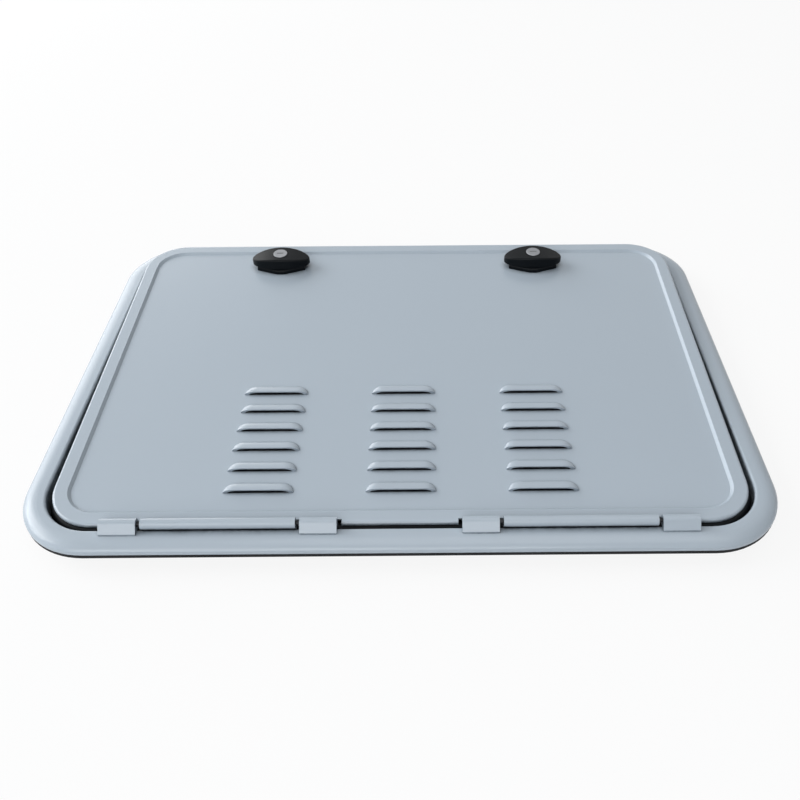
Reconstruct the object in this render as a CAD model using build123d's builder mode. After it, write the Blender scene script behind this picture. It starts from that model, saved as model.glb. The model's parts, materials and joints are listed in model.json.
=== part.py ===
"""Storage hatch: a flanged frame with a louvred door on two hinges and two turning locks.

Millimetres, +Z up, standing on the bottom of the frame's neck.  X runs along the hinge line, Y from
the hinges to the locks.  The door is drawn flush with the frame, then swung up by the small angle at
which its lock tails stand on the ground.
"""
import os
from math import asin, atan2, degrees, hypot

from build123d import *

# Frame: a channel flange round a plain neck with a seal ledge inside it
frame_width = 650
frame_height = 460
frame_corner = 67
flange_width = 20
flange_depth = 8
crown_start = 7
crown_drop = 6.5
mouth_round = 2.5
frame_sheet = 2
neck_depth = 20
ledge_width = 15
ledge_level = 12
ledge_sheet = 1.5
ledge_play = 0.05
screw_radius = 2.1
screw_level = 6
screw_end_long = 105
screw_end_short = 80

# Soft trim
gasket_depth = 4
gasket_inset = 0.2
gasket_play = 0.2
seal_width = 11.5
seal_clear = 0.5
seal_gap = 0.7
seal_round = 3

# Door: a folded tray with a pressed step round a sunk panel
door_gap = 5
rim_width = 14
door_sheet = 1.5
rim_fold = 3.5
rim_round = 2.5
panel_sink = 2.4
step_run = 2.4
notch_play = 3
notch_depth = 4

# Louvres pressed up from the panel, mouths towards the hinges
louvre_columns = 3
louvre_rows = 6
louvre_column_pitch = 123
louvre_row_pitch = 24.4
louvre_near_edge = 34.7
louvre_length = 61
louvre_depth = 10.5
louvre_height = 4.2
louvre_sheet = 1.3
louvre_shoulder = 4

# Hinges: two frame clips and a long door bar on each pin
hinge_offset = -0.5
knuckle_radius = 4.6
pin_radius = 2
bar_play = 0.1
clip_play = 0.05
clip_length = 30.5
hinge_side = 53.5
hinge_length = 195
clip_gap = 3.5
foot_sheet = 1.5
foot_reach = 6.5
leaf_sheet = 2
leaf_reach = 12.5
web_sheet = 2.5

# Locks
lock_side = 156
lock_edge = 39
lock_reach = 37.5
base_length = 54
base_width = 32
base_end = 15
base_tip = 9
base_round = 2
base_height = 5
knob_length = 65
knob_width = 28
knob_end_height = 6.5
knob_mid_height = 12
knob_lift = 0.5
knob_round = 2
barrel_radius = 7.75
barrel_seat = 3
barrel_proud = 0.6
barrel_round = 0.5
barrel_play = 0.1
key_length = 8
key_width = 1.6
key_depth = 3
housing_radius = 11
housing_play = 0.1
lock_nut_radius = 15
lock_nut_height = 4
spindle_radius = 5
spindle_play = 0.2
stud_radius = 3
stud_play = 0.05
pawl_length = 37
pawl_width = 16
pawl_sheet = 3
pawl_play = 0.3
pawl_nut_radius = 6
pawl_nut_height = 2.5
stud_proud = 0.5
tail_clear = 0.3

# Levels and outlines that follow from them
flange_top = neck_depth + flange_depth
gasket_back = neck_depth - gasket_depth
mouth_width = frame_width - 2 * flange_width
mouth_height = frame_height - 2 * flange_width
mouth_corner = frame_corner - flange_width
ledge_top = ledge_level + ledge_sheet
door_width = mouth_width - 2 * door_gap
door_height = mouth_height - 2 * door_gap
door_corner = mouth_corner - door_gap
rim_under = flange_top - door_sheet
fold_under = flange_top - rim_fold
panel_top = flange_top - panel_sink
panel_under = panel_top - door_sheet
seal_top = fold_under - seal_gap
hollow_length = louvre_length - 2 * louvre_shoulder
hollow_depth = louvre_depth - louvre_sheet
hollow_height = louvre_height - louvre_sheet
screw_spacing_long = mouth_width - 2 * screw_end_long
screw_spacing_short = mouth_height - 2 * screw_end_short
louvre_middle = -door_height / 2 + louvre_near_edge + louvre_row_pitch * (louvre_rows - 1) / 2
hinge_middle = door_width / 2 - hinge_side - hinge_length / 2
lock_x = door_width / 2 - lock_side
lock_y = door_height / 2 - lock_edge
hinge_y = -mouth_height / 2 + door_gap / 2 + hinge_offset
hinge_z = flange_top + knuckle_radius
foot_run = hinge_y + mouth_height / 2 + foot_reach
knob_base = panel_top + base_height + knob_lift
tail_level = panel_top - lock_reach
pawl_under = tail_level + pawl_nut_height + stud_proud
pawl_top = pawl_under + pawl_sheet
tail_run = lock_y - hinge_y
tail_drop = tail_level - hinge_z
tail_arm = hypot(tail_run, tail_drop)
door_ajar = degrees(asin((tail_clear - hinge_z) / tail_arm) - atan2(tail_drop, tail_run))
hinge_axis = Axis((0, hinge_y, hinge_z), (1, 0, 0))


def outline(width, height, corner, inset):
    """Rounded rectangle drawn in from a reference outline, corners kept concentric."""
    return RectangleRounded(width - 2 * inset, height - 2 * inset, corner - inset)


def mouth_outline(inset):
    return outline(mouth_width, mouth_height, mouth_corner, inset)


def door_outline(inset):
    return outline(door_width, door_height, door_corner, inset)


def crown(inset):
    """Quarter ellipse of the flange's crowned top, drawn in by a thickness; X runs out from the mouth."""
    centre = (crown_start, flange_top - crown_drop)
    return EllipticalCenterArc(
        centre, flange_width - crown_start - inset, crown_drop - inset, 90, arc_size=-90
    )


def hood(length, depth, height, skirt):
    """Half dome closed towards +Y, its flat mouth on the XZ plane and a straight skirt below."""
    straight = length / 2 - depth
    with BuildPart() as shape:
        with BuildSketch(Plane.YZ):
            with BuildLine():
                EllipticalCenterArc((0, 0), depth, height, 0, arc_size=90)
                Polyline((0, height), (0, -skirt), (depth, -skirt), (depth, 0))
            make_face()
        section = shape.pending_faces[0]
        extrude(amount=straight, both=True)
        revolve(section.moved(Pos(-straight, 0, 0)), Axis((-straight, 0, 0), (0, 0, 1)), 90)
        revolve(section.moved(Pos(straight, 0, 0)), Axis((straight, 0, 0), (0, 0, -1)), 90)
    return shape.part


def save(shape, label):
    shape.label = label
    export_step(shape, f"parts/{label}.step")


def save_on_door(shape, label):
    save(shape.rotate(hinge_axis, door_ajar), label)


os.makedirs("parts", exist_ok=True)

# Frame: one section carried round the mouth
with BuildSketch() as mouth:
    mouth_outline(0)
mouth_path = mouth.sketch.face().outer_wire()
along = mouth_path % 0
section_plane = Plane(mouth_path @ 0, x_dir=along.cross(Vector(0, 0, 1)), z_dir=-along)

with BuildPart() as outer_frame:
    with BuildSketch(section_plane):
        with BuildLine():
            outer_crown = crown(0)
            inner_crown = crown(frame_sheet)
            Line((mouth_round, flange_top), outer_crown @ 0)
            Polyline(
                outer_crown @ 1,
                (flange_width, neck_depth),
                (flange_width - frame_sheet, neck_depth),
                inner_crown @ 1,
            )
            Polyline(
                inner_crown @ 0,
                (frame_sheet, flange_top - frame_sheet),
                (frame_sheet, 0),
                (0, 0),
                (0, flange_top - mouth_round),
            )
            RadiusArc((0, flange_top - mouth_round), (mouth_round, flange_top), mouth_round)
        make_face()
    sweep(path=mouth_path)
    with Locations(Plane.XZ):
        with Locations((-screw_spacing_long / 2, screw_level), (screw_spacing_long / 2, screw_level)):
            Cylinder(screw_radius, frame_height, mode=Mode.SUBTRACT)
    with Locations(Plane.YZ):
        with Locations((-screw_spacing_short / 2, screw_level), (screw_spacing_short / 2, screw_level)):
            Cylinder(screw_radius, frame_width, mode=Mode.SUBTRACT)
save(outer_frame.part, "outer_frame")

with BuildPart() as seal_ledge:
    with BuildSketch(Plane.XY.offset(ledge_level)):
        mouth_outline(ledge_play)
        with BuildSketch(mode=Mode.SUBTRACT):
            mouth_outline(ledge_width)
    extrude(amount=ledge_sheet)
save(seal_ledge.part, "seal_ledge")

with BuildPart() as wall_gasket:
    fill_inset = frame_sheet + gasket_play
    with BuildSketch(section_plane):
        with BuildLine():
            fill_crown = crown(fill_inset)
            Polyline(
                fill_crown @ 1,
                (flange_width - fill_inset, neck_depth),
                (flange_width - gasket_inset, neck_depth),
                (flange_width - gasket_inset, gasket_back),
                (fill_inset, gasket_back),
                (fill_inset, flange_top - fill_inset),
                fill_crown @ 0,
            )
        make_face()
    sweep(path=mouth_path)
save(wall_gasket.part, "wall_gasket")

with BuildPart() as door_seal:
    with BuildSketch(Plane.XY.offset(ledge_top)):
        mouth_outline(seal_clear)
        with BuildSketch(mode=Mode.SUBTRACT):
            mouth_outline(seal_clear + seal_width)
    extrude(amount=seal_top - ledge_top)
    fillet(door_seal.faces().sort_by(Axis.Z)[-1].edges(), radius=seal_round)
save(door_seal.part, "door_seal")

# Door
with BuildPart() as door_panel:
    with BuildSketch(Plane.XY.offset(fold_under)):
        door_outline(0)
    extrude(amount=rim_fold)
    fillet(door_panel.faces().sort_by(Axis.Z)[-1].edges(), radius=rim_round)
    with BuildSketch(Plane.XY.offset(fold_under)):
        door_outline(door_sheet)
        with BuildSketch(mode=Mode.SUBTRACT):
            door_outline(rim_width - door_sheet)
    extrude(amount=rim_fold - door_sheet, mode=Mode.SUBTRACT)
    with BuildSketch(Plane.XY.offset(panel_top)):
        door_outline(rim_width + step_run / 2)
    extrude(amount=panel_sink, taper=-degrees(atan2(step_run, panel_sink)), mode=Mode.SUBTRACT)
    with Locations((-hinge_middle, -door_height / 2, flange_top), (hinge_middle, -door_height / 2, flange_top)):
        Box(hinge_length + 2 * notch_play, 2 * notch_depth, 4 * rim_fold, mode=Mode.SUBTRACT)
    with Locations((0, louvre_middle, panel_top)):
        with GridLocations(louvre_column_pitch, louvre_row_pitch, louvre_columns, louvre_rows):
            add(hood(louvre_length, louvre_depth, louvre_height, door_sheet))
    with Locations((0, louvre_middle, panel_top)):
        with GridLocations(louvre_column_pitch, louvre_row_pitch, louvre_columns, louvre_rows):
            add(hood(hollow_length, hollow_depth, hollow_height, 2 * door_sheet), mode=Mode.SUBTRACT)
    with Locations((-lock_x, lock_y, panel_top), (lock_x, lock_y, panel_top)):
        Cylinder(housing_radius + housing_play, 4 * door_sheet, mode=Mode.SUBTRACT)
save_on_door(door_panel.part, "door_panel")

# Hinges, one each side of the middle
bar_length = hinge_length - 2 * (clip_length + clip_gap)
clip_offset = hinge_length / 2 - clip_length / 2
for side, name in ((-1, "left"), (1, "right")):
    middle_plane = Plane((side * hinge_middle, hinge_y, hinge_z), x_dir=(0, 1, 0), z_dir=(1, 0, 0))

    with BuildPart() as hinge_pin:
        with Locations(middle_plane):
            Cylinder(pin_radius, hinge_length)
    save(hinge_pin.part, f"hinge_pin_{name}")

    with BuildPart() as hinge_bar:
        with BuildSketch(middle_plane):
            Circle(knuckle_radius)
            with Locations((0, fold_under - hinge_z)):
                Rectangle(web_sheet, hinge_z - fold_under, align=(Align.MIN, Align.MIN))
                Rectangle(leaf_reach, leaf_sheet, align=(Align.MIN, Align.MIN))
            Circle(pin_radius + bar_play, mode=Mode.SUBTRACT)
        extrude(amount=bar_length / 2, both=True)
    save_on_door(hinge_bar.part, f"hinge_bar_{name}")

    for end, place in ((-side, "inner"), (side, "outer")):
        with BuildPart() as hinge_clip:
            with BuildSketch(middle_plane.offset(end * clip_offset)):
                Circle(knuckle_radius)
                with Locations((0, -knuckle_radius)):
                    Rectangle(foot_run, foot_sheet, align=(Align.MAX, Align.MIN))
                make_hull()
                Circle(pin_radius + clip_play, mode=Mode.SUBTRACT)
            extrude(amount=clip_length / 2, both=True)
        save(hinge_clip.part, f"hinge_clip_{name}_{place}")

# Locks, drawn once on the Z axis and set on both sides with their pawls towards the middle
with BuildPart() as lock_base:
    with BuildSketch(Plane.XY.offset(panel_top)):
        with BuildLine():
            corner = Polyline(
                (base_length / 2, 0),
                (base_length / 2, base_end / 2),
                (base_tip / 2, base_width / 2),
                (0, base_width / 2),
            )
            mirror(corner, about=Plane.YZ)
            mirror(about=Plane.XZ)
        make_face()
        Circle(spindle_radius + spindle_play, mode=Mode.SUBTRACT)
    extrude(amount=base_height)
    fillet(lock_base.faces().sort_by(Axis.Z)[-1].outer_wire().edges(), radius=base_round)

with BuildPart() as lock_housing:
    with BuildSketch(Plane.XY.offset(pawl_top + pawl_play)):
        Circle(housing_radius)
        Circle(spindle_radius + spindle_play, mode=Mode.SUBTRACT)
    extrude(amount=panel_top - pawl_top - pawl_play)

with BuildPart() as lock_nut:
    with BuildSketch(Plane.XY.offset(panel_under - lock_nut_height)):
        RegularPolygon(lock_nut_radius, 6)
        Circle(housing_radius + stud_play, mode=Mode.SUBTRACT)
    extrude(amount=lock_nut_height)

with BuildPart() as lock_knob:
    with BuildSketch(Plane.XY.offset(knob_base)):
        Ellipse(knob_length / 2, knob_width / 2)
    extrude(amount=knob_mid_height)
    with BuildSketch(Plane.XZ):
        with BuildLine():
            back = ThreePointArc(
                (-knob_length / 2, knob_base + knob_end_height),
                (0, knob_base + knob_mid_height),
                (knob_length / 2, knob_base + knob_end_height),
            )
            Polyline(back @ 1, (knob_length / 2, knob_base), (-knob_length / 2, knob_base), back @ 0)
        make_face()
    extrude(amount=knob_width, both=True, mode=Mode.INTERSECT)
    fillet(lock_knob.edges().group_by(Axis.Z)[-1], radius=knob_round)
    with BuildSketch(Plane.XY.offset(knob_base + barrel_seat)):
        Circle(barrel_radius + barrel_play)
    extrude(amount=knob_mid_height, mode=Mode.SUBTRACT)

with BuildPart() as key_barrel:
    with BuildSketch(Plane.XY.offset(knob_base + barrel_seat)):
        Circle(barrel_radius)
    extrude(amount=knob_mid_height - barrel_seat + barrel_proud)
    fillet(key_barrel.faces().sort_by(Axis.Z)[-1].edges(), radius=barrel_round)
    with BuildSketch(key_barrel.faces().sort_by(Axis.Z)[-1]):
        SlotOverall(key_length, key_width)
    extrude(amount=-key_depth, mode=Mode.SUBTRACT)

with BuildPart() as lock_spindle:
    with BuildSketch(Plane.XY.offset(pawl_top)):
        Circle(spindle_radius)
    extrude(amount=knob_base - pawl_top)
    with BuildSketch(Plane.XY.offset(tail_level)):
        Circle(stud_radius)
    extrude(amount=pawl_top - tail_level)

with BuildPart() as lock_pawl:
    with BuildSketch(Plane.XY.offset(pawl_under)):
        with Locations((pawl_length / 2 - pawl_width / 4, 0)):
            SlotOverall(pawl_length + pawl_width / 2, pawl_width)
        Circle(stud_radius + stud_play, mode=Mode.SUBTRACT)
    extrude(amount=pawl_sheet)

with BuildPart() as pawl_nut:
    with BuildSketch(Plane.XY.offset(pawl_under - pawl_nut_height)):
        RegularPolygon(pawl_nut_radius, 6)
        Circle(stud_radius + stud_play, mode=Mode.SUBTRACT)
    extrude(amount=pawl_nut_height)

lock_pieces = {
    "lock_base": lock_base.part,
    "lock_housing": lock_housing.part,
    "lock_nut": lock_nut.part,
    "lock_knob": lock_knob.part,
    "key_barrel": key_barrel.part,
    "lock_spindle": lock_spindle.part,
    "lock_pawl": lock_pawl.part,
    "pawl_nut": pawl_nut.part,
}
for label, shape in lock_pieces.items():
    save_on_door(Pos(-lock_x, lock_y) * shape, f"{label}_left")
    save_on_door(Pos(lock_x, lock_y) * Rot(0, 0, 180) * shape, f"{label}_right")
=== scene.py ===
# %% [markdown]
# A storage hatch for a vehicle body: a crowned flange with a neck behind it, a louvred door on two
# long hinges, and two black turning locks.  The solid model is loaded first and stays as it is; every
# finish and every extra piece below is placed in the same frame, in metres.

# %% Load the solid model
import json
import math

import bmesh
import bpy
from mathutils import Matrix, Vector


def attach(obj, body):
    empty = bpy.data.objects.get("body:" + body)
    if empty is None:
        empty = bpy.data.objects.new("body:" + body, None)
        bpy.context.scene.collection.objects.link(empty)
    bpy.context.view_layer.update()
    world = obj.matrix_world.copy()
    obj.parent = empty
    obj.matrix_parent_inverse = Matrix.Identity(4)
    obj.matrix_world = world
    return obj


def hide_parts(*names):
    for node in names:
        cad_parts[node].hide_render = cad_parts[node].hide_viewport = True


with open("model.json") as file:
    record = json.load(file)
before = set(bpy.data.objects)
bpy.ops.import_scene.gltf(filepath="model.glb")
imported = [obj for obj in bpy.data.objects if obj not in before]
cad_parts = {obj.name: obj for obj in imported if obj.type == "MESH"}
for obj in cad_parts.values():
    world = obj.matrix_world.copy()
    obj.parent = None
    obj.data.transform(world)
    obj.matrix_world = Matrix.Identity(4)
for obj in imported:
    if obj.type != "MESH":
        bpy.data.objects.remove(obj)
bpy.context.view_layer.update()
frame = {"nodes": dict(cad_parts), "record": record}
nodes = frame["nodes"]

# %% [markdown]
# Several finishes on this hatch share the same small effects, so each effect is a shader node group
# with named inputs and outputs.  A group is built once and placed in each material with its own
# values.  Typing node by node is slow to read, so short helpers start a group with its sockets, add a
# node with its values, join two sockets, do one step of arithmetic and mix two colours.

# %% Helpers for node groups
SOCKET = {"value": "NodeSocketFloat", "colour": "NodeSocketColor", "vector": "NodeSocketVector"}
# The Mix node's colour sockets come after those for numbers and vectors, which have the same names.
MIX_FIRST, MIX_SECOND, MIX_RESULT = 6, 7, 2


def start_group(name, inputs, outputs):
    """An empty shader group with (name, kind, default) inputs and (name, kind) outputs."""
    group = bpy.data.node_groups.new(name, "ShaderNodeTree")
    for label, kind, default in inputs:
        socket = group.interface.new_socket(label, in_out="INPUT", socket_type=SOCKET[kind])
        socket.default_value = default
    for label, kind in outputs:
        group.interface.new_socket(label, in_out="OUTPUT", socket_type=SOCKET[kind])
    return group, group.nodes.new("NodeGroupInput"), group.nodes.new("NodeGroupOutput")


def add(tree, kind, values=None, **settings):
    """A node of this kind with its settings and its unlinked input values."""
    node = tree.nodes.new(kind)
    for label, value in settings.items():
        setattr(node, label, value)
    for label, value in (values or {}).items():
        node.inputs[label].default_value = value
    return node


def join(tree, source, target):
    tree.links.new(source, target)


def feed(tree, value, socket):
    """Gives an input either another node's output or a plain value."""
    if hasattr(value, "is_output"):
        join(tree, value, socket)
    else:
        socket.default_value = value


def math_node(tree, operation, first, second):
    """One step of arithmetic on two outputs or plain numbers."""
    node = add(tree, "ShaderNodeMath", operation=operation)
    feed(tree, first, node.inputs[0])
    feed(tree, second, node.inputs[1])
    return node.outputs["Value"]


def mix_colours(tree, share, first, second):
    """A blend of two colours, each an output or a plain value, by a share from 0 to 1."""
    node = add(tree, "ShaderNodeMix", data_type="RGBA")
    join(tree, share, node.inputs["Factor"])
    feed(tree, first, node.inputs[MIX_FIRST])
    feed(tree, second, node.inputs[MIX_SECOND])
    return node.outputs[MIX_RESULT]


print("socket kinds ready:", ", ".join(SOCKET))

# %% [markdown]
# Powder coat flows a little before it hardens, and leaves a soft ripple like orange peel: waves a few
# millimetres long and only microns high, with finer grain on top.  A bump map from two sizes of noise
# shows it in the reflections without adding a single face.  The group gives out a plain
# height, and each finish says how much of a metre a height of 1 stands for.

# %% Group: coat ripple
GRAIN_PER_WAVE = 7.0
coat_ripple, inside, outside = start_group(
    "coat ripple",
    [("Wave Length", "value", 0.004), ("Wave Height", "value", 1.0), ("Grain Height", "value", 0.2)],
    [("Height", "value")],
)
place = add(coat_ripple, "ShaderNodeTexCoord")
wave_count = math_node(coat_ripple, "DIVIDE", 1.0, inside.outputs["Wave Length"])
grain_count = math_node(coat_ripple, "MULTIPLY", wave_count, GRAIN_PER_WAVE)
wave = add(coat_ripple, "ShaderNodeTexNoise", {"Detail": 1.0, "Roughness": 0.4})
grain = add(coat_ripple, "ShaderNodeTexNoise", {"Detail": 2.0, "Roughness": 0.5})
for texture, count in ((wave, wave_count), (grain, grain_count)):
    join(coat_ripple, place.outputs["Object"], texture.inputs["Vector"])
    join(coat_ripple, count, texture.inputs["Scale"])
wave_part = math_node(coat_ripple, "MULTIPLY", wave.outputs["Fac"], inside.outputs["Wave Height"])
grain_part = math_node(coat_ripple, "MULTIPLY", grain.outputs["Fac"], inside.outputs["Grain Height"])
join(coat_ripple, math_node(coat_ripple, "ADD", wave_part, grain_part), outside.inputs["Height"])
print(coat_ripple.name, "nodes:", len(coat_ripple.nodes))

# %% [markdown]
# No real surface has one colour all over.  Handling, cleaning and light leave broad, faint clouds, and
# the same clouds are a touch duller than the rest.  One group makes both: a tinted colour, and a
# roughness that follows it.

# %% Group: soft clouds
soft_clouds, inside, outside = start_group(
    "soft clouds",
    [
        ("Colour", "colour", (0.5, 0.5, 0.5, 1.0)),
        ("Cloud Colour", "colour", (0.4, 0.4, 0.4, 1.0)),
        ("Cloud Count", "value", 6.0),
        ("Amount", "value", 0.2),
        ("Roughness", "value", 0.3),
        ("Roughness Spread", "value", 0.1),
    ],
    [("Colour", "colour"), ("Roughness", "value")],
)
place = add(soft_clouds, "ShaderNodeTexCoord")
cloud = add(soft_clouds, "ShaderNodeTexNoise", {"Detail": 5.0, "Roughness": 0.6})
join(soft_clouds, place.outputs["Object"], cloud.inputs["Vector"])
join(soft_clouds, inside.outputs["Cloud Count"], cloud.inputs["Scale"])
spread = add(
    soft_clouds, "ShaderNodeMapRange", {"From Min": 0.1, "From Max": 0.9},
    interpolation_type="SMOOTHSTEP",
)
join(soft_clouds, cloud.outputs["Fac"], spread.inputs["Value"])
share = math_node(soft_clouds, "MULTIPLY", spread.outputs["Result"], inside.outputs["Amount"])
tint = mix_colours(soft_clouds, share, inside.outputs["Colour"], inside.outputs["Cloud Colour"])
join(soft_clouds, tint, outside.inputs["Colour"])
dulling = math_node(
    soft_clouds, "MULTIPLY", spread.outputs["Result"], inside.outputs["Roughness Spread"]
)
roughness = math_node(soft_clouds, "ADD", dulling, inside.outputs["Roughness"])
join(soft_clouds, roughness, outside.inputs["Roughness"])
print(soft_clouds.name, "nodes:", len(soft_clouds.nodes))

# %% [markdown]
# Shade is painted into the corners: along the pressed step, in the louvre mouths and behind the
# hinge bars.  Ambient occlusion finds those corners, and noise breaks the line so that it isn't even.

# %% Group: painted corner shade
painted_corner_shade, inside, outside = start_group(
    "painted corner shade",
    [
        ("Colour", "colour", (0.5, 0.5, 0.5, 1.0)),
        ("Grime Colour", "colour", (0.1, 0.1, 0.1, 1.0)),
        ("Reach", "value", 0.006),
        ("Amount", "value", 0.4),
    ],
    [("Colour", "colour")],
)
place = add(painted_corner_shade, "ShaderNodeTexCoord")
# Painted shade: the colour is darkened towards the shade colour where ambient occlusion finds a corner.
corner = add(painted_corner_shade, "ShaderNodeAmbientOcclusion", samples=8)
join(painted_corner_shade, inside.outputs["Reach"], corner.inputs["Distance"])
buried = add(painted_corner_shade, "ShaderNodeMapRange", {"From Min": 0.85, "From Max": 0.35})
join(painted_corner_shade, corner.outputs["AO"], buried.inputs["Value"])
speckle = add(painted_corner_shade, "ShaderNodeTexNoise", {"Scale": 90.0, "Detail": 4.0, "Roughness": 0.65})
join(painted_corner_shade, place.outputs["Object"], speckle.inputs["Vector"])
broken = math_node(painted_corner_shade, "MULTIPLY", buried.outputs["Result"], speckle.outputs["Fac"])
mask = math_node(painted_corner_shade, "MULTIPLY", broken, inside.outputs["Amount"])
shaded_colour = mix_colours(painted_corner_shade, mask, inside.outputs["Colour"], inside.outputs["Grime Colour"])
join(painted_corner_shade, shaded_colour, outside.inputs["Colour"])
print(painted_corner_shade.name, "nodes:", len(painted_corner_shade.nodes))

# %% [markdown]
# Drawn, turned and plated metal keeps fine lines from its making.  Noise squeezed hard across one
# direction gives such lines; the stretch is an input, so a rod can have them along its length and a
# plate across it.

# %% Group: tool lines
tool_lines, inside, outside = start_group(
    "tool lines",
    [
        ("Stretch", "vector", (40.0, 1500.0, 1500.0)),
        ("Roughness", "value", 0.3),
        ("Roughness Spread", "value", 0.15),
    ],
    [("Height", "value"), ("Roughness", "value")],
)
place = add(tool_lines, "ShaderNodeTexCoord")
squeeze = add(tool_lines, "ShaderNodeVectorMath", operation="MULTIPLY")
join(tool_lines, place.outputs["Object"], squeeze.inputs[0])
join(tool_lines, inside.outputs["Stretch"], squeeze.inputs[1])
line = add(tool_lines, "ShaderNodeTexNoise", {"Scale": 1.0, "Detail": 3.0, "Roughness": 0.6})
join(tool_lines, squeeze.outputs["Vector"], line.inputs["Vector"])
join(tool_lines, line.outputs["Fac"], outside.inputs["Height"])
spread = math_node(tool_lines, "MULTIPLY", line.outputs["Fac"], inside.outputs["Roughness Spread"])
roughness = math_node(tool_lines, "ADD", spread, inside.outputs["Roughness"])
join(tool_lines, roughness, outside.inputs["Roughness"])
print(tool_lines.name, "nodes:", len(tool_lines.nodes))

# %% [markdown]
# Each finish is a material of its own around one Principled BSDF.  Numbers that are the same all over
# the surface are typed straight into that shader, and only what varies comes through a group.

# %% Helpers for materials


def start_material(name, **constants):
    """A material with one Principled BSDF; constants are its plain socket values."""
    material = bpy.data.materials.new(name)
    material.use_nodes = True
    tree = material.node_tree
    surface = tree.nodes["Principled BSDF"]
    for label, value in constants.items():
        surface.inputs[label.replace("_", " ")].default_value = value
    return material, tree, surface


def place_group(tree, group, **values):
    """The group in a material's tree, with its input values."""
    node = add(tree, "ShaderNodeGroup", node_tree=group)
    for label, value in values.items():
        node.inputs[label.replace("_", " ")].default_value = value
    return node


def bump_from(tree, surface, height, distance):
    """Feeds a height to the surface normal; distance is what a height of 1 stands for, in metres."""
    bump = add(tree, "ShaderNodeBump", {"Strength": 1.0, "Distance": distance})
    join(tree, height, bump.inputs["Height"])
    join(tree, bump.outputs["Normal"], surface.inputs["Normal"])


print("finishes start from one shader each")

# %% [markdown]
# The hatch is powder coated in a pale blue-grey, door and frame alike.  The coat is glossy enough to
# draw bright lines along every pressed edge, so its roughness is low, and the ripple keeps those lines
# from looking like glass.  Frame and door get the same recipe with slightly different clouds, because
# they were coated as separate pieces.

# %% Finish: pale powder coat
COAT_COLOUR = (0.425, 0.493, 0.56, 1.0)
COAT_CLOUDS = (0.405, 0.472, 0.545, 1.0)
# Near-black colour for the painted shade in the coat's corners and creases.
COAT_PAINTED_SHADE = (0.02, 0.024, 0.03, 1.0)


def powder_coat(name, cloud_count):
    """The pale coat; a higher count gives smaller clouds."""
    material, tree, surface = start_material(name, Metallic=0.0, IOR=1.5)
    clouds = place_group(
        tree, soft_clouds, Colour=COAT_COLOUR, Cloud_Colour=COAT_CLOUDS, Cloud_Count=cloud_count,
        Amount=0.35, Roughness=0.2, Roughness_Spread=0.08,
    )
    # Painted shade: the coat is darkened to near black in its corners, creases and louvre mouths.
    painted_shade = place_group(tree, painted_corner_shade, Grime_Colour=COAT_PAINTED_SHADE, Reach=0.011, Amount=1.2)
    ripple = place_group(tree, coat_ripple, Wave_Length=0.0045, Wave_Height=1.0, Grain_Height=0.12)
    join(tree, clouds.outputs["Colour"], painted_shade.inputs["Colour"])
    join(tree, painted_shade.outputs["Colour"], surface.inputs["Base Color"])
    join(tree, clouds.outputs["Roughness"], surface.inputs["Roughness"])
    bump_from(tree, surface, ripple.outputs["Height"], distance=0.00003)
    return material


door_paint = powder_coat("door_paint", 5.0)
frame_paint = powder_coat("frame_paint", 7.0)
print("coats:", door_paint.name, frame_paint.name)

# %% [markdown]
# The soft trim is black: a rubber seal that the door closes on, and a foam gasket between the flange
# and the wall.  Rubber from a die is smooth with a faint bloom, foam is full of cut cells.  Cells come
# from a Voronoi texture, whose distance makes each one a small dimple.

# %% Finish: seal rubber and gasket foam
seal_rubber, tree, surface = start_material("seal_rubber", Specular_IOR_Level=0.15)
bloom = place_group(
    tree, soft_clouds, Colour=(0.0012, 0.0025, 0.004, 1.0), Cloud_Colour=(0.004, 0.0055, 0.007, 1.0),
    Cloud_Count=18.0, Amount=0.6, Roughness=0.5, Roughness_Spread=0.2,
)
skin = place_group(tree, coat_ripple, Wave_Length=0.0012, Wave_Height=0.6, Grain_Height=0.5)
join(tree, bloom.outputs["Colour"], surface.inputs["Base Color"])
join(tree, bloom.outputs["Roughness"], surface.inputs["Roughness"])
bump_from(tree, surface, skin.outputs["Height"], distance=0.00004)

gasket_foam, tree, surface = start_material("gasket_foam", Specular_IOR_Level=0.2)
bloom = place_group(
    tree, soft_clouds, Colour=(0.011, 0.012, 0.014, 1.0), Cloud_Colour=(0.03, 0.03, 0.032, 1.0),
    Cloud_Count=40.0, Amount=0.7, Roughness=0.75, Roughness_Spread=0.2,
)
place = add(tree, "ShaderNodeTexCoord")
cell = add(tree, "ShaderNodeTexVoronoi", {"Scale": 1400.0})
join(tree, place.outputs["Object"], cell.inputs["Vector"])
join(tree, bloom.outputs["Colour"], surface.inputs["Base Color"])
join(tree, bloom.outputs["Roughness"], surface.inputs["Roughness"])
bump_from(tree, surface, cell.outputs["Distance"], distance=0.0004)
print("soft trim:", seal_rubber.name, gasket_foam.name)

# %% [markdown]
# The lock bases and knobs are moulded in black plastic.  The mould is spark eroded, which leaves a fine
# even grain that breaks up the highlights, while fingers polish the plastic slightly in patches.

# %% Finish: lock plastic
lock_plastic, tree, surface = start_material("lock_plastic", IOR=1.49, Specular_IOR_Level=0.12)
polish = place_group(
    tree, soft_clouds, Colour=(0.0008, 0.002, 0.0035, 1.0), Cloud_Colour=(0.0025, 0.004, 0.0055, 1.0),
    Cloud_Count=60.0, Amount=0.5, Roughness=0.3, Roughness_Spread=0.16,
)
spark = place_group(tree, coat_ripple, Wave_Length=0.0007, Wave_Height=1.0, Grain_Height=0.4)
join(tree, polish.outputs["Colour"], surface.inputs["Base Color"])
join(tree, polish.outputs["Roughness"], surface.inputs["Roughness"])
bump_from(tree, surface, spark.outputs["Height"], distance=0.00007)
print("plastic:", lock_plastic.name)

# %% [markdown]
# The hidden metal is plain: dark steel pins drawn along X, and zinc-plated pawls, spindles and nuts.
# The key barrels are satin chrome, brushed straight across their faces.

# %% Finish: steel, zinc and brushed chrome


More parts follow.
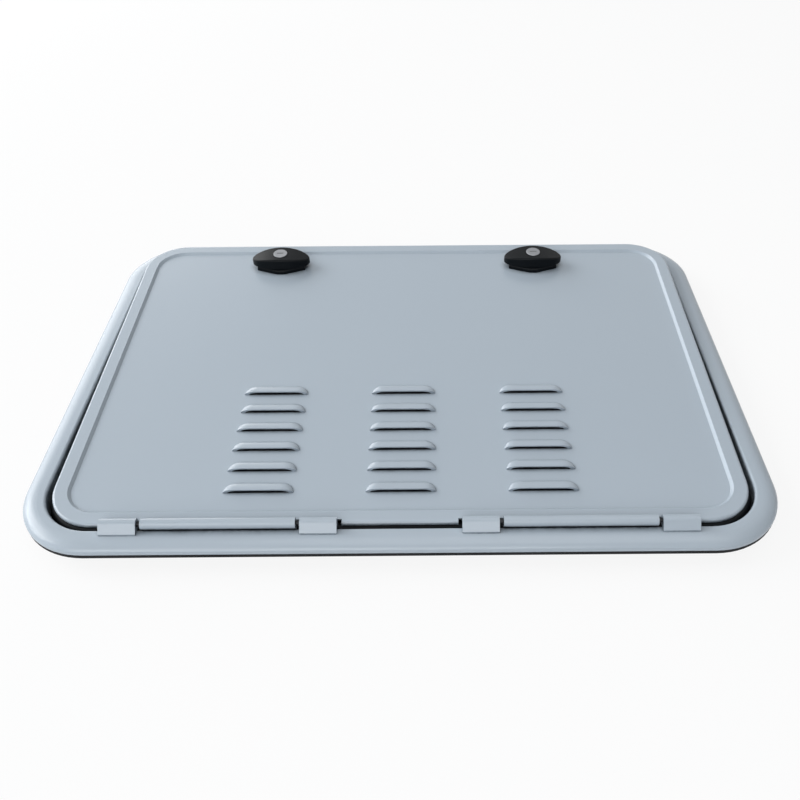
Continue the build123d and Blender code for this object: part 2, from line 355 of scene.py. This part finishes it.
def lined_metal(name, colour, cloud_colour, stretch, roughness):
    """A metal with lines along the direction in which its stretch is smallest."""
    material, tree, surface = start_material(name, Metallic=1.0)
    clouds = place_group(
        tree, soft_clouds, Colour=colour, Cloud_Colour=cloud_colour, Cloud_Count=45.0, Amount=0.5,
    )
    lines = place_group(tree, tool_lines, Stretch=stretch, Roughness=roughness, Roughness_Spread=0.18)
    join(tree, clouds.outputs["Colour"], surface.inputs["Base Color"])
    join(tree, lines.outputs["Roughness"], surface.inputs["Roughness"])
    bump_from(tree, surface, lines.outputs["Height"], distance=0.00002)
    return material


pin_steel = lined_metal(
    "pin_steel", (0.035, 0.037, 0.04, 1.0), (0.02, 0.02, 0.022, 1.0), (30.0, 2500.0, 2500.0), 0.4
)
lock_zinc = lined_metal(
    "lock_zinc", (0.6, 0.6, 0.57, 1.0), (0.5, 0.49, 0.44, 1.0), (900.0, 60.0, 900.0), 0.3
)
key_chrome = lined_metal(
    "key_chrome", (0.3, 0.31, 0.33, 1.0), (0.2, 0.21, 0.22, 1.0), (1600.0, 120.0, 1600.0), 0.22
)
print("metals:", pin_steel.name, lock_zinc.name, key_chrome.name)

# %% [markdown]
# The solids already have the right shapes for the pressed metal and the moulded locks, so they stay
# and only take these finishes, by the slot names of the record.

# %% Dress the solid pieces
finishes = {
    "frame_paint": frame_paint,
    "door_paint": door_paint,
    "gasket_foam": gasket_foam,
    "seal_rubber": seal_rubber,
    "pin_steel": pin_steel,
    "lock_plastic": lock_plastic,
    "lock_zinc": lock_zinc,
    "key_chrome": key_chrome,
}
for entry in frame["record"]["subparts"]:
    mesh = nodes[entry["node"]].data
    mesh.materials.clear()
    mesh.materials.append(finishes[entry["material_slot"]])

# %% [markdown]
# The door closes on an extruded bulb seal.  Its section is a flat foot with a round bulb on a short neck,
# carried round the mouth: every point of the section has an inset from the mouth and a height, and each
# inset gives a rounded rectangle of its own, so the corners stay even.  The seal takes the place of the
# plain strip in the solid model.

# %% Bulb seal
MOUTH_HALF = (0.305, 0.21)
MOUTH_CORNER = 0.047
SEAL_FOOT = (0.0005, 0.012, 0.0135, 0.0153)  # outer and inner inset, then bottom and top
BULB_CENTRE = (0.0062, 0.0193)  # inset and height
BULB_RADIUS = 0.0044
NECK_ANGLE = math.radians(34.0)


def rounded_ring(inset, height, steps=18):
    """Points round the mouth outline drawn in by an inset, anticlockwise from the right-hand side."""
    radius = MOUTH_CORNER - inset
    ring = []
    for quarter, (sx, sy) in enumerate(((1, 1), (-1, 1), (-1, -1), (1, -1))):
        centre = (sx * (MOUTH_HALF[0] - MOUTH_CORNER), sy * (MOUTH_HALF[1] - MOUTH_CORNER))
        for step in range(steps + 1):
            angle = math.pi / 2 * (quarter + step / steps)
            along, across = radius * math.cos(angle), radius * math.sin(angle)
            ring.append((centre[0] + along, centre[1] + across, height))
    return ring


def bulb_section(steps=28):
    """(inset, height) points round the seal's section: foot, neck and bulb."""
    outer, inner, bottom, top = SEAL_FOOT
    points = [(outer, bottom), (inner, bottom), (inner, top)]
    round_bulb = 2 * math.pi - 2 * NECK_ANGLE
    for step in range(steps + 1):
        angle = -math.pi / 2 + NECK_ANGLE + round_bulb * step / steps
        inset, rise = BULB_RADIUS * math.cos(angle), BULB_RADIUS * math.sin(angle)
        points.append((BULB_CENTRE[0] + inset, BULB_CENTRE[1] + rise))
    points.append((outer, top))
    return points


def skin_between(shape, first, second, smooth):
    """Faces between two closed rows of points."""
    for corners in zip(first, first[1:] + first[:1], second[1:] + second[:1], second):
        shape.faces.new(corners).smooth = smooth


def finished_piece(shape, name, finish):
    """A new object from a drawn shape, with its faces turned outwards and its finish on."""
    bmesh.ops.recalc_face_normals(shape, faces=shape.faces)
    mesh = bpy.data.meshes.new(name)
    shape.to_mesh(mesh)
    shape.free()
    mesh.materials.append(finish)
    piece = bpy.data.objects.new(name, mesh)
    bpy.context.scene.collection.objects.link(piece)
    return piece


def swept_ring(name, section, finish):
    """A closed ring: the section carried round the mouth."""
    shape = bmesh.new()
    rings = []
    for inset, height in section:
        rings.append([shape.verts.new(point) for point in rounded_ring(inset, height)])
    for first, second in zip(rings, rings[1:] + rings[:1]):
        skin_between(shape, first, second, smooth=True)
    return finished_piece(shape, name, finish)


bulb_seal = swept_ring("bulb_seal", bulb_section(), seal_rubber)
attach(bulb_seal, "frame")
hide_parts("door_seal")
print("bulb seal faces:", len(bulb_seal.data.polygons))

# %% [markdown]
# A spring shutter closes each keyway against rain: a small plate with rounded ends, sunk a little below
# the face of the barrel, with a bent lip along its middle.  It turns with the lock it sits in, so it is
# built on the lock's own axis and leans with the door.

# %% Key shutters
SHUTTER_HALF = (0.0039, 0.0007)
SHUTTER_LEVELS = (0.0162, 0.0169)
SHUTTER_LIP = 0.0003
SHUTTER_ROWS = (-1.0, -0.55, 0.0, 0.55, 1.0)  # shares of the half width


def key_shutter(side):
    """A plate across the keyway of one lock, its lip raised along the middle."""
    joint = next(j for j in frame["record"]["behaviour"]["joints"] if j["child"] == f"{side}_lock")
    lean = math.atan2(abs(joint["axis"][1]), abs(joint["axis"][2]))
    shape = bmesh.new()
    half_length, half_width = SHUTTER_HALF
    bottom, top = SHUTTER_LEVELS
    rows = []
    for share in SHUTTER_ROWS:
        rise = SHUTTER_LIP * (1.0 - abs(share))
        reach = half_length - half_width * (1.0 - math.sqrt(1.0 - share * share))
        across = share * half_width
        low = [(-reach, across, bottom), (reach, across, bottom)]
        high = [(reach, across, top + rise), (-reach, across, top + rise)]
        rows.append([shape.verts.new(point) for point in low + high])
    for first, second in zip(rows, rows[1:]):
        skin_between(shape, first, second, smooth=False)
    shape.faces.new(rows[0])
    shape.faces.new(rows[-1])
    shape.transform(Matrix.Translation(joint["pos_m"]) @ Matrix.Rotation(lean, 4, "X"))
    piece = finished_piece(shape, f"key_shutter_{side}", lock_zinc)
    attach(piece, f"{side}_lock")
    return piece


shutters = [key_shutter(side) for side in ("left", "right")]
print("key shutters:", [piece.name for piece in shutters])

# %% [markdown]
# The photograph was taken from in front of the hinges, looking down at a little over forty degrees with
# a slightly wide lens.  The camera's place and turn come from matching the flange, the pressed step and
# the louvre rows to their pixels.  The object sat left of the lens axis, hence the small sideways shift.

# %% Camera
CAMERA_PLACE = (0.02682, -0.63926, 0.56023)
CAMERA_TURN = (47.700, 0.241, -0.376)  # degrees about X, Y and Z
camera = bpy.data.objects.new("camera", bpy.data.cameras.new("camera"))
camera.data.sensor_width = 36.0
camera.data.lens = 36.91
camera.data.shift_x = -0.0413
camera.location = CAMERA_PLACE
camera.rotation_euler = [math.radians(v) for v in CAMERA_TURN]
bpy.context.scene.collection.objects.link(camera)
bpy.context.scene.camera = camera
print("camera at", tuple(round(v, 3) for v in camera.location))

# %% [markdown]
# The floor is a plain pale sheet.  Seen by the camera or in a reflection it mostly glows an even white,
# as a studio sweep does, with enough matt paper left to keep a faint shadow; for every other ray it is
# plain matt paper.  Inside the neck it is painted dark grey, as painted shade for the dim locker that
# the hatch closes, and doesn't glow there.

# %% Floor
NECK_HALF = (0.306, 0.211)
NECK_CORNER = 0.048
FLOOR_HALF = 4.0
FLOOR_GLOW = 0.88
PAINTED_LOCKER_SHADE = (0.12, 0.12, 0.125, 1.0)
PAPER_COLOUR = (0.86, 0.87, 0.88, 1.0)
WHITE = (1.0, 1.0, 1.0, 1.0)


def shows_background(tree):
    """1 for a ray that shows the background: from the camera, in a reflection or through glass."""
    path = add(tree, "ShaderNodeLightPath")
    mirrored, through = path.outputs["Is Glossy Ray"], path.outputs["Is Transmission Ray"]
    bent = math_node(tree, "MAXIMUM", mirrored, through)
    return math_node(tree, "MAXIMUM", path.outputs["Is Camera Ray"], bent)


floor_mesh = bpy.data.meshes.new("floor")
signs = ((-1, -1), (1, -1), (1, 1), (-1, 1))
floor_mesh.from_pydata([(x * FLOOR_HALF, y * FLOOR_HALF, 0.0) for x, y in signs], [], [(0, 1, 2, 3)])
floor = bpy.data.objects.new("floor", floor_mesh)
bpy.context.scene.collection.objects.link(floor)

floor_paper = bpy.data.materials.new("floor_paper")
floor_paper.use_nodes = True
tree = floor_paper.node_tree
tree.nodes.remove(tree.nodes["Principled BSDF"])
paper = add(tree, "ShaderNodeBsdfDiffuse")
glow = add(tree, "ShaderNodeEmission", {"Color": WHITE, "Strength": 1.0})
seen = shows_background(tree)
place = add(tree, "ShaderNodeTexCoord")
apart = add(tree, "ShaderNodeSeparateXYZ")
join(tree, place.outputs["Object"], apart.inputs["Vector"])
beyond = []
for label, half in zip("XY", NECK_HALF):
    from_middle = math_node(tree, "ABSOLUTE", apart.outputs[label], 0.0)
    past = math_node(tree, "SUBTRACT", from_middle, half - NECK_CORNER)
    beyond.append(math_node(tree, "POWER", math_node(tree, "MAXIMUM", past, 0.0), 2.0))
from_corner = math_node(tree, "ADD", beyond[0], beyond[1])
open_floor = math_node(tree, "GREATER_THAN", from_corner, NECK_CORNER ** 2)
# Painted shade: inside the neck the paper is dark grey, for the dim locker behind the hatch.
join(tree, mix_colours(tree, open_floor, PAINTED_LOCKER_SHADE, PAPER_COLOUR), paper.inputs["Color"])
seen_open = math_node(tree, "MULTIPLY", seen, open_floor)
blend = add(tree, "ShaderNodeMixShader")
join(tree, math_node(tree, "MULTIPLY", seen_open, FLOOR_GLOW), blend.inputs["Fac"])
join(tree, paper.outputs["BSDF"], blend.inputs[1])
join(tree, glow.outputs["Emission"], blend.inputs[2])
join(tree, blend.outputs["Shader"], tree.nodes["Material Output"].inputs["Surface"])
floor_mesh.materials.append(floor_paper)
print("floor half width:", FLOOR_HALF, "dark inside the neck:", NECK_HALF)

# %% [markdown]
# The surroundings light the hatch more from the left than from the right, as a room with its windows on
# one side does.  The camera and the reflections see them plain white, so that metal shows the same
# background as the picture.

# %% Surroundings
ROOM_COLOUR = (0.95, 0.98, 1.0, 1.0)
world = bpy.data.worlds.new("studio")
bpy.context.scene.world = world
world.use_nodes = True
tree = world.node_tree
room = tree.nodes["Background"]
room.inputs["Color"].default_value = ROOM_COLOUR
place = add(tree, "ShaderNodeTexCoord")
apart = add(tree, "ShaderNodeSeparateXYZ")
join(tree, place.outputs["Generated"], apart.inputs["Vector"])
fall = add(
    tree, "ShaderNodeMapRange", {"From Min": -0.5, "From Max": 0.6, "To Min": 0.3, "To Max": 0.06}
)
join(tree, apart.outputs["X"], fall.inputs["Value"])
join(tree, fall.outputs["Result"], room.inputs["Strength"])
sweep = add(tree, "ShaderNodeBackground", {"Color": WHITE, "Strength": 1.0})
blend = add(tree, "ShaderNodeMixShader")
join(tree, shows_background(tree), blend.inputs["Fac"])
join(tree, room.outputs["Background"], blend.inputs[1])
join(tree, sweep.outputs["Background"], blend.inputs[2])
join(tree, blend.outputs["Shader"], tree.nodes["World Output"].inputs["Surface"])
print("surroundings:", world.name)

# %% [markdown]
# A low window behind the hatch on the left draws the bright lines on the left flange and along the
# right-hand step.  It is large and dim, not small and bright, because its mirror image would otherwise
# bleach the inside of the open door.  A broad light from the left gives most of the level, leaves the
# left-hand step darker and throws the soft lock shadows to the right.  A panel in front lights the faces
# turned to the camera, and a weak one overhead evens the level across the door.

# %% Lights
LIGHT_AIM = Vector((0.0, 0.0, 0.0))


def soft_panel(name, place, width, height, power):
    """A rectangular lamp turned to the middle of the hatch; sizes in metres, power in watts."""
    lamp = bpy.data.lights.new(name, "AREA")
    lamp.shape = "RECTANGLE"
    lamp.size = width
    lamp.size_y = height
    lamp.energy = power
    panel = bpy.data.objects.new(name, lamp)
    panel.location = place
    panel.rotation_euler = (LIGHT_AIM - Vector(place)).to_track_quat("-Z", "Y").to_euler()
    bpy.context.scene.collection.objects.link(panel)


soft_panel("window", (-1.9, 1.75, 0.75), width=3.2, height=1.4, power=32.0)
soft_panel("side_light", (-4.8, 1.0, 3.1), width=4.0, height=3.0, power=182.0)
soft_panel("overhead", (0.5, 0.2, 4.0), width=3.0, height=3.0, power=34.0)
soft_panel("front_fill", (-0.8, -3.0, 1.8), width=3.2, height=2.0, power=56.0)
bpy.context.scene.view_settings.view_transform = "Standard"
